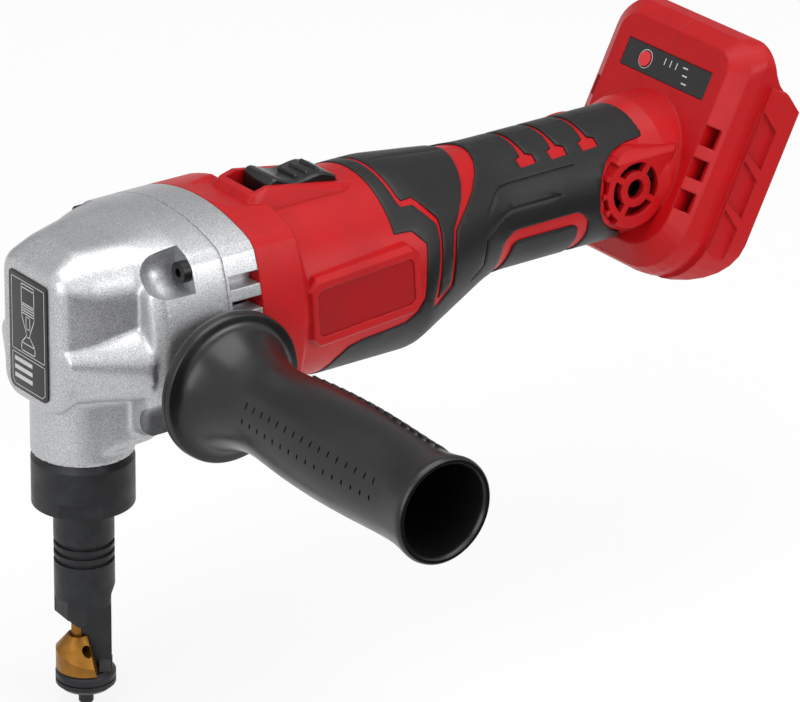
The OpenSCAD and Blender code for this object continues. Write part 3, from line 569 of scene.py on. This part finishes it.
def overmould(side):
    """Soft black grip skin of one half: where it stops, the red housing shows between its rounded edges."""
    arch = [(153.6, 179.6), (153.5, 102), (155.5, 97), (158.8, 93), (185.2, 92.5), (188.4, 97), (190.6, 104),
            (191.6, 118), (191.8, 179.6), (187.6, 179.6), (187.4, 121), (186.3, 109), (184.9, 105.5), (183, 104.4),
            (161.2, 104.4), (159.3, 106), (158.4, 109), (158, 121), (157.8, 179.6)]
    under_arch = [(158.1, 179.6), (158.3, 121), (158.7, 109), (159.5, 106.6), (161.4, 105), (183, 105),
                  (184.7, 106), (186, 109.6), (187.1, 121), (187.3, 179.6)]
    seam_a = [(186.9, 51.2), (159.4, 51.8), (155, 52.5), (152.2, 56), (147, 68)]
    seam_b = [(178.4, 73), (156.8, 73.2), (150.5, 79), (144.6, 86), (143.9, 97), (143.5, 107), (137.5, 111)]
    whole = patch([skin_outline(), arch, ribbon(seam_a, 0.55), ribbon(seam_b, 0.55)], SKIN)
    parts = [whole, patch([LINE_REAR + BAND_FRONT], SKIN)]
    for seam in (seam_a, seam_b):
        parts.append(patch([ribbon(seam, 2.0)], 0.02, rim=0.1))
    parts.append(patch([under_arch], SKIN))
    bm = joined(*parts)
    return bm if side < 0 else mirrored(bm)


def red_inlay():
    """Red layer under the overmould, with a hole at each vent."""
    turns = [math.tau * i / 40 for i in range(40)]
    vent = [(210 + 13.4 * math.cos(t), 86 - math.degrees(math.asin(0.6 * math.sin(t)))) for t in turns]
    half = patch([[(117.4, 0.1), (117.4, 179.9), (221.5, 179.9), (221.5, 0.1)], vent], -0.22, foot=-0.9, rim=0.05)
    return joined(half, mirrored(half.copy()))


# ---------------------------------------------------------------- cast head

HEAD_HALF, HEAD_REAR = 37, 33
HANDLE_X, HANDLE_Z = 27.3, -9.7  # axis of the side handle
SCREW_Y, SCREW_HEIGHTS = 28.6, (26.4, -20.4)
POCKET, POCKET_OUT, POCKET_UP = 8.98, 1.084, 1.098  # radius, and how much farther out than its screw it is
GRAIN, WEAR = 0.62, 26  # millimetres between the casting's points, and rounds of smoothing


def pillow_reach(half, t):
    """Reach at angle t of a square with bulging sides and round corners."""
    sides = [math.sqrt(half * half * (k * k + 3)) - half * k for k in (abs(math.cos(t)), abs(math.sin(t)))]
    return min(1.146 * half, *sides)


def head_section(half, sides=120):
    """Pillow whose lower side is 3 mm nearer the middle than its upper one."""
    outline = []
    for t in (math.tau * i / sides for i in range(sides)):
        low, high = 0, 1.2 * half
        for _ in range(20):
            r = (low + high) / 2
            y, z = r * math.cos(t), r * math.sin(t)
            inside = all(math.hypot(y, z - k) < pillow_reach(half, math.atan2(z - k, y)) for k in (0, 3))
            low, high = (r, high) if inside else (low, r)
        outline.append((low * math.cos(t), low * math.sin(t)))
    return outline


def cast_head():
    """Gear housing: its lobes flow into each other as in a die casting, and its machined cuts stay crisp."""
    def both(x, y, z, r):
        return [p for s in (-1, 1) for p in at_x(x, arc(s * y, z, r, 0, 345, 23))]

    nose = hull(*at_x(-19.6, round_rect(14.4, -18.6, 26.4, 6, 5)), *at_x(-18.4, round_rect(16.2, -20, 28, 8, 6)),
                *at_x(-16.5, round_rect(18, -20.8, 29.6, 9, 8)), *at_x(-8.5, round_rect(22, -8, 33.6, 8, 15)),
                *at_x(8, round_rect(27, 0, 35, 8, 16)))
    shoulder = hull(*at_x(6, round_rect(27, 18, 34.8, 1, 16)),
                    *at_x(20.4, [p for p in head_section(HEAD_HALF) if p[1] > 24]))
    cheeks = hull(*at_x(-19.2, round_rect(14.5, -16.5, 4, 5, 5)), *both(-17.5, 15, -1, 5), *both(5, 22, -3, 13.2))
    chamber = hull(*at_x(5, [p for p in head_section(HEAD_HALF - 3.2) if p[1] < 23]),
                   *at_x(9.5, [p for p in head_section(HEAD_HALF) if p[1] < 26]),
                   *at_x(20, head_section(HEAD_HALF)))
    rear = hull(*at_x(19.5, head_section(HEAD_HALF)), *at_x(HEAD_REAR, head_section(HEAD_HALF)))
    column = rod(17, (0, 0, -39.8), (0, 0, 0), sides=96)
    web = hull(*((p[0], p[1], z) for z in (-36, -16) for p in arc(0, 0, 16.9, 0, 345, 23)),
               *at_x(13, round_rect(24, -33.8, -14, 6, 4)))
    bosses = [rod(13, (HANDLE_X, s * 30, HANDLE_Z), (HANDLE_X, s * 41.4, HANDLE_Z)) for s in (-1, 1)]

    def hold(p):
        """Soft everywhere but at the joint with the bracket, the foot of the column and the handle's seats."""
        bracket, foot, seats = (29 - p.x) / 6, (p.z + 38.5) / 5, (41 - abs(p.y)) / 3
        soft = min(1, max(0, bracket)) * min(1, max(0, foot)) * min(1, max(0, seats))
        return soft * min(1, max(0.45, (p.x + 20) / 5))

    head = softened(joined(nose, shoulder, cheeks, chamber, rear, column, web, *bosses), GRAIN, WEAR, hold)
    cuts = [rod(29.4, (23, 0, 0), (34, 0, 0)), rod(22, (19.6, 0, 0), (24, 0, 0)),
            rod(17.5, (10, 0, 0), (21, 0, 0)), rod(13.2, (4.8, 0, 0), (11, 0, 0)),
            block((-5.2, -13, -23.5), (5.3, 13, 23.5)), block((-13, -9, -12), (-5, 9, 22)),
            rod(10, (0, 0, -45), (0, 0, -8))]
    for s in (-1, 1):
        cuts.append(rod(4.05, (HANDLE_X, s * 31.5, HANDLE_Z), (HANDLE_X, s * 45, HANDLE_Z)))
        for z in SCREW_HEIGHTS:
            y, up = s * SCREW_Y * POCKET_OUT, z * POCKET_UP
            cuts.append(rod(POCKET, (12.2, y, up), (21.2, y, up), sides=96))
            cuts.append(ball(POCKET, (12.2, y, up), detail=5))
            cuts.append(rod(2.25, (20.2, s * SCREW_Y, z), (34, s * SCREW_Y, z)))
    head = combined(head, "DIFFERENCE", *cuts)
    spigot = combined(rod(14.6, (0, 0, -50.8), (0, 0, -39.7)), "DIFFERENCE", rod(10, (0, 0, -52), (0, 0, -39)))
    return joined(head, spigot)


# ---------------------------------------------------------------- side handle

HANDLE_AT = (HANDLE_X, 0, HANDLE_Z)
DIMPLES, DIMPLE_START, DIMPLE_STEP = 16, 71.8, 4.5


def side_handle():
    """Hollow handle: dished flange, barrel grip, rolled lip, dimples for the fingers and ridges for the palm."""
    flange = [(7.7, 42), (24.4, 42), (25.2, 42.3), (25.5, 43), (25.5, 43.9), (25.15, 44.2), (25.15, 44.5),
              (25.45, 44.8), (25.4, 45.6), (25, 46.2), (24.3, 46.5), (23, 46.6), (21.6, 47.2), (20.4, 48.4)]
    outside = [(19.4, 50.2), (18.4, 52.4), (17.3, 55.4), (16.4, 59), (15.7, 63), (15.25, 67), (15.3, 72),
               (15.7, 77), (16.1, 82), (16.5, 88), (16.8, 95), (17, 104), (16.95, 112), (16.75, 120),
               (16.4, 128), (16.1, 135), (16, 142), (16.2, 146), (16.7, 150)]
    lip = [(17.25, 153), (17.55, 154.6), (17.6, 155.4), (17.4, 156.3), (16.9, 156.85), (16.3, 157), (15.7, 156.85),
           (15.2, 156.3), (14.9, 155.4), (14.5, 153)]
    inside = [(12.4, 92), (11.45, 60.2), (11.45, 58.2), (4.1, 58), (4.1, 50), (7.7, 50)]
    grip = placed(turned(flange + outside + lip + inside, 128), turn=(90, 0, 0), to=HANDLE_AT)
    dimples, ridges = [], []
    for i in range(DIMPLES):
        along = DIMPLE_START + DIMPLE_STEP * i
        near, far = next((a, b) for a, b in zip(outside, outside[1:]) if a[1] <= along < b[1])
        r = near[0] + (far[0] - near[0]) * (along - near[1]) / (far[1] - near[1])
        for angle, length in ((62.5, 1.35), (82, 1.05)):
            dimple = ball(1, (0, -along, r), (length, 0.4, 0.75), 2)
            dimples.append(placed(dimple, turn=(0, -angle, 0), to=HANDLE_AT))
        if i:
            ridge = ball(1, (0, -along - 2, r - 0.25), (5.2, 1.75, 0.95), 2)
            ridges.append(placed(ridge, turn=(0, 46, 0), to=HANDLE_AT))
    return joined(combined(grip, "DIFFERENCE", joined(*dimples)), *ridges)


# ---------------------------------------------------------------- switch and labels

ROCKER_FRONT, ROCKER_WIDTH, RIB = 68.6, 15.4, 0.75


def rocker():
    """Slide switch: high toe in front, a dip for the thumb and three ribs on its hump."""
    x = ROCKER_FRONT
    outline = [(0, 31), (0, 36.6), (0.5, 38.2), (1.5, 39.1), (2.8, 39.2), (4.4, 38.6), (6, 37.8), (8, 37),
               (10.5, 36.5), (13, 36.4), (15.5, 36.7), (18, 37.1), (20.4, 37.3), (22.2, 36.9), (24.4, 36.1),
               (26, 35.3), (26.7, 34.7), (26.8, 34), (26.8, 31)]
    body = bar([(x + along, up) for along, up in outline], ROCKER_WIDTH, 0.9)
    ribs = []
    for i in range(3):
        at = x + 12.6 + 4.3 * i
        up = 36.75 + 0.28 * i
        ribs += [rod(RIB, (at, -4.4, up), (at, 4.4, up), sides=20),
                 ball(RIB, (at, -4.4, up)), ball(RIB, (at, 4.4, up))]
    return joined(body, *ribs, block((x + 8, -3, 29.4), (x + 14, 3, 31.2), 0.3))


def gauge_label():
    """Black plate on the nose with a light border, a plain punch and die drawn in lines, and three gauge bars."""
    plate = faced(slab(round_rect(10.9, -16.4, 24, 3, 1.5), 0.5, 0.15), (0, -1, 0), (0, 0, 1), (-19.65, 0, 0))
    lines = [line(0.24, (-9.2, 22.2), (9.4, 22.2), (9.4, -2.8), (-9.2, -2.8), closed=True),
             line(0.24, (-9.2, -4), (9.4, -4), (9.4, -13.6), (7.8, -15), (-7.6, -15), (-9.2, -13.6), closed=True),
             line(0.34, (-3.6, 21.2), (-3.6, 14.6), (3.6, 14.6), (3.6, 21.2), closed=True),
             line(0.34, (-3.6, 20), (3.6, 20)),
             line(0.34, (-3.6, 14.6), (-3.6, 10.2), (-1, 4.6), (-1, 3.4)),
             line(0.34, (3.6, 14.6), (3.6, 10.2), (1, 4.6), (1, 3.4)),
             line(0.3, (-1.1, 10.4), (1.1, 10.4), (1.1, 6.2), (-1.1, 6.2), closed=True),
             line(0.34, (-1.2, 3.4), (1.2, 3.4), (3.8, 0.8), (3.8, -1.9), (-3.8, -1.9), (-3.8, 0.8), closed=True),
             line(0.34, (-3.8, 0.8), (3.8, 0.8))]
    lines += [line(0.36, (-3.6, 13.9 - 0.9 * i), (3.6, 13.9 - 0.9 * i)) for i in range(4)]
    lines += [line(1.5, (-7.2, -6 - 2.9 * i), (1.4, -6 - 2.9 * i)) for i in range(3)]
    return plate, faced(joined(*lines), (0, -1, 0), (0, 0, 1), (-20.15, 0, 0))


FOOT_AT, FOOT_PITCH = (240.65, 0, 38.3), math.radians(26.4)
FOOT_UP = (math.sin(FOOT_PITCH), 0, math.cos(FOOT_PITCH))


def in_foot(depth, y, up):
    """Point from its depth behind the foot's front face, and its height along it."""
    c, s = math.cos(FOOT_PITCH), math.sin(FOOT_PITCH)
    return (FOOT_AT[0] + depth * c + up * s, y, FOOT_AT[2] - depth * s + up * c)


def panel_marks():
    """Ring round the button, three level marks and a dash for each battery step, printed on the panel's film."""
    marks = [line(0.28, *arc(-11, 0, 3.25, 0, 345, 23), closed=True, thickness=0.04)]
    marks += [line(0.4, (-1.5 + 3 * i, 0.9), (-1.5 + 3 * i, 2.9), thickness=0.04) for i in range(3)]
    marks += [line(0.5, (8 + 0.9 * i, 2.6 - 2.6 * i), (10 + 0.9 * i, 2.6 - 2.6 * i), thickness=0.04)
              for i in range(3)]
    return faced(joined(*marks), (0, -1, 0), FOOT_UP, in_foot(0.2, 0, 0))


# ---------------------------------------------------------------- floor, light and camera

def looked_at(tree):
    """1 for a ray that is seen directly, in gloss or through something clear, and 0 for one that only lights."""
    path = add(tree, "LightPath").outputs
    seen = path["Is Camera Ray"]
    for ray in ("Is Glossy Ray", "Is Transmission Ray"):
        seen = add(tree, "Math", {"operation": "MAXIMUM"}, i0=seen, i1=path[ray]).outputs[0]
    return seen


def studio():
    """Pale floor and white surroundings, which light softly but look plain white."""
    bm = bmesh.new()
    bmesh.ops.create_grid(bm, x_segments=1, y_segments=1, size=6)
    bmesh.ops.translate(bm, vec=(0, 0, cad_box[0][2] - 0.0002), verts=bm.verts)
    floor = as_object(bm, "floor")
    material = bpy.data.materials.new("matt_white_floor")
    material.use_nodes = True
    tree = material.node_tree
    tree.nodes.remove(tree.nodes["Principled BSDF"])
    matt = add(tree, "BsdfDiffuse", Color=linear("#f2f2f2"))
    glow = add(tree, "Emission", Color=(1, 1, 1, 1), Strength=1.0)
    share = add(tree, "Math", {"operation": "MULTIPLY"}, i0=looked_at(tree), i1=0.86)
    both = add(tree, "MixShader", i0=share.outputs[0], i1=matt.outputs[0], i2=glow.outputs[0])
    tree.links.new(both.outputs[0], tree.nodes["Material Output"].inputs["Surface"])
    floor.data.materials.append(material)

    world = bpy.data.worlds.new("studio")
    scene.world = world
    world.use_nodes = True
    tree = world.node_tree
    tree.nodes.clear()
    plain = looked_at(tree)
    soft = add(tree, "Background", Color=(1, 1, 1, 1), Strength=0.45)
    white = add(tree, "Background", Color=(1, 1, 1, 1), Strength=1.0)
    both = add(tree, "MixShader", i0=plain, i1=soft.outputs[0], i2=white.outputs[0])
    out = add(tree, "OutputWorld")
    tree.links.new(both.outputs[0], out.inputs["Surface"])


def softbox(name, at, towards, width, height, watts):
    """Rectangular area lamp, in metres, aimed at a point."""
    lamp = bpy.data.lights.new(name, "AREA")
    lamp.shape, lamp.size, lamp.size_y, lamp.energy = "RECTANGLE", width, height, watts
    holder = bpy.data.objects.new(name, lamp)
    holder.location = at
    holder.rotation_euler = (Vector(towards) - Vector(at)).to_track_quat("-Z", "Y").to_euler()
    scene.collection.objects.link(holder)


def card(name, shade, *corners):
    """Plain reflector beside the set: only gloss shows it, as a darker or lighter field."""
    bm = bmesh.new()
    bm.faces.new([bm.verts.new(c) for c in corners])
    board = as_object(bm, name)
    material = bpy.data.materials.new("matt_" + name)
    material.use_nodes = True
    tree = material.node_tree
    tree.nodes.remove(tree.nodes["Principled BSDF"])
    glow = add(tree, "Emission", Color=(shade, shade, shade, 1), Strength=1.0)
    tree.links.new(glow.outputs[0], tree.nodes["Material Output"].inputs["Surface"])
    board.data.materials.append(material)
    board.visible_camera = board.visible_diffuse = board.visible_shadow = False


def camera():
    """Long lens, from the left of the tool's front and a little above it."""
    turn, rise, roll = math.radians(-37.159), math.radians(23.87), math.radians(0.7746)
    back = Vector((math.sin(turn) * math.cos(rise), -math.cos(turn) * math.cos(rise), math.sin(rise)))
    right = Vector((math.cos(turn), math.sin(turn), 0))
    up = back.cross(right)
    level_right = right * math.cos(roll) + up * math.sin(roll)
    level_up = up * math.cos(roll) - right * math.sin(roll)
    across, lift, away, drop = 102.06, -4.48, 1669.6, 1.4  # millimetres from the origin
    at = level_right * across + level_up * lift + back * away - Vector((0, 0, drop))
    lens = bpy.data.cameras.new("camera")
    lens.sensor_width, lens.lens = 36, 234.6
    lens.clip_start, lens.clip_end = 0.05, 50
    holder = bpy.data.objects.new("camera", lens)
    axes = Matrix((level_right, level_up, back)).transposed().to_4x4()
    holder.matrix_world = Matrix.Translation(at * MM) @ axes
    scene.collection.objects.link(holder)
    scene.camera = holder


for side, name in ((-1, "left"), (1, "right")):
    piece(overmould(side), "soft_grip_" + name, "body", black_tpe, replaces=("grip_skin_" + name,))
piece(red_inlay(), "housing_inlay", "body", red_abs)
piece(cast_head(), "cast_head", "body", silver_soft, replaces=("gear_housing",), crease=28)
piece(side_handle(), "side_handle", "handle", black_nylon, replaces=("handle_grip",))
piece(rocker(), "slide_switch", "slider", black_nylon, replaces=("switch_slider",))
plate, print_lines = gauge_label()
piece(plate, "nose_plate", "body", label_film, replaces=("head_label",))
piece(print_lines, "nose_print", "body", light_print)
piece(panel_marks(), "panel_print", "body", light_print)


studio()
softbox("overhead", (0.1, -0.1, 1.3), (0.1, 0, 0), 1.2, 1.2, 12)
softbox("front_left", (-1.1, -0.5, 0.5), (0.03, 0, -0.02), 0.7, 0.9, 5.6)
softbox("right_side", (0.5, -1.25, 0.62), (0.08, 0, 0), 0.9, 0.5, 8)
card("dark_card_right", 0.02, (-0.35, -0.27, -0.129), (1.3, -0.02, -0.129), (1.9, -1.2, 0.14), (-0.5, -1.2, 0.14))
card("grey_card_back", 0.42, (1.6, -0.2, 0.05), (-0.9, 1.5, 0.05), (-0.9, 1.5, 1.2), (1.6, -0.2, 1.2))
camera()
scene.view_settings.view_transform = "Standard"
scene.render.film_transparent = False
